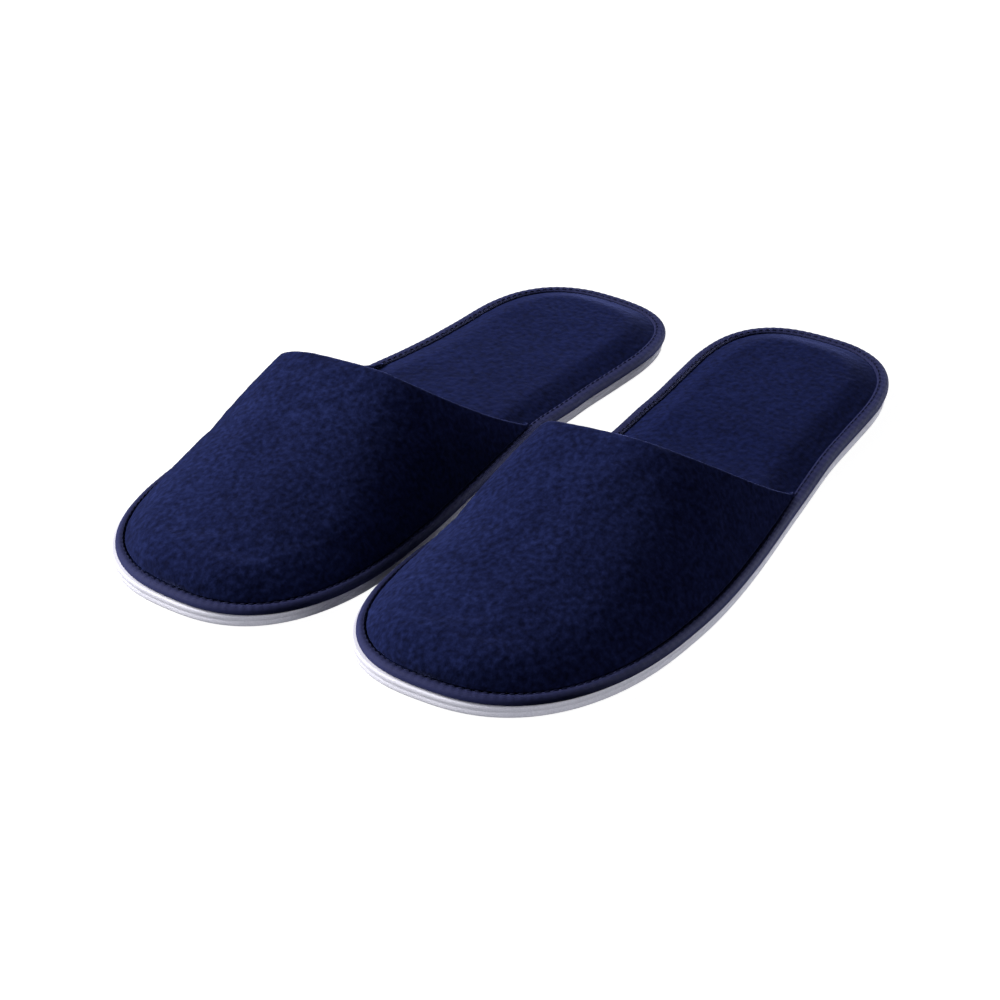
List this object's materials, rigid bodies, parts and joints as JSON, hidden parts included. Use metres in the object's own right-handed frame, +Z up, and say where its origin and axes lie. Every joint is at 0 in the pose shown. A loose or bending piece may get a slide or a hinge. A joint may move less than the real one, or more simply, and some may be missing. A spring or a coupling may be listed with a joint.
{
  "type": "pair of closed-toe spa slippers",
  "caption": "Pair of closed-toe slip-on spa slippers with a padded velour upper covering the forefoot, a cushioned velour insole, a rounded bound edge and a thin pale foam sole.",
  "frame": {"origin": "centre of the pair's bounding box, on the floor the soles rest on", "axes": "+Z up from the floor, -Y toward the toes, +Y toward the heels; the wearer faces -Y, so the right slipper is at -X and the left one at +X"},
  "size_m": [0.2264, 0.2922, 0.05],
  "materials": {
    "velour": "short pile",
    "binding": "smooth woven tape",
    "lining": "brushed knit",
    "thread": "spun thread",
    "foam": "open-cell foam",
    "board": "non-woven board",
    "white_eva": "matte foam sheet"
  },
  "bodies": {
    "right_forefoot": {"right_outsole_front": "white_eva", "right_insole_board_front": "board", "right_insole_padding_front": "foam", "right_insole_cover_front": "velour", "right_edge_binding_front": "binding", "right_edge_seam_thread_front": "thread", "right_vamp_shell": "velour", "right_vamp_padding": "foam", "right_vamp_lining": "lining", "right_throat_seam_thread": "thread"},
    "right_heel": {"right_outsole_heel": "white_eva", "right_insole_board_heel": "board", "right_insole_padding_heel": "foam", "right_insole_cover_heel": "velour", "right_edge_binding_heel": "binding", "right_edge_seam_thread_heel": "thread"},
    "left_forefoot": {"left_outsole_front": "white_eva", "left_insole_board_front": "board", "left_insole_padding_front": "foam", "left_insole_cover_front": "velour", "left_edge_binding_front": "binding", "left_edge_seam_thread_front": "thread", "left_vamp_shell": "velour", "left_vamp_padding": "foam", "left_vamp_lining": "lining", "left_throat_seam_thread": "thread"},
    "left_heel": {"left_outsole_heel": "white_eva", "left_insole_board_heel": "board", "left_insole_padding_heel": "foam", "left_insole_cover_heel": "velour", "left_edge_binding_heel": "binding", "left_edge_seam_thread_heel": "thread"}
  },
  "joints": [
    {"name": "right_sole_flex", "type": "hinge", "parent": "right_forefoot", "child": "right_heel", "pos_m": [-0.05557, 0.04156, 0.0114], "axis": [0.9995, -0.0314, 0], "range_deg": [0, 45], "stiffness_Nm_per_rad": 0.4},
    {"name": "left_slipper_lift", "type": "slide", "parent": "right_forefoot", "child": "left_forefoot", "axis": [0, 0, 1], "range_m": [0, 0.12]},
    {"name": "left_sole_flex", "type": "hinge", "parent": "left_forefoot", "child": "left_heel", "pos_m": [0.05557, 0.04606, 0.0114], "axis": [0.9995, 0.0314, 0], "range_deg": [-5.4, 39.6], "stiffness_Nm_per_rad": 0.4, "springref_deg": 1.15}
  ]
}
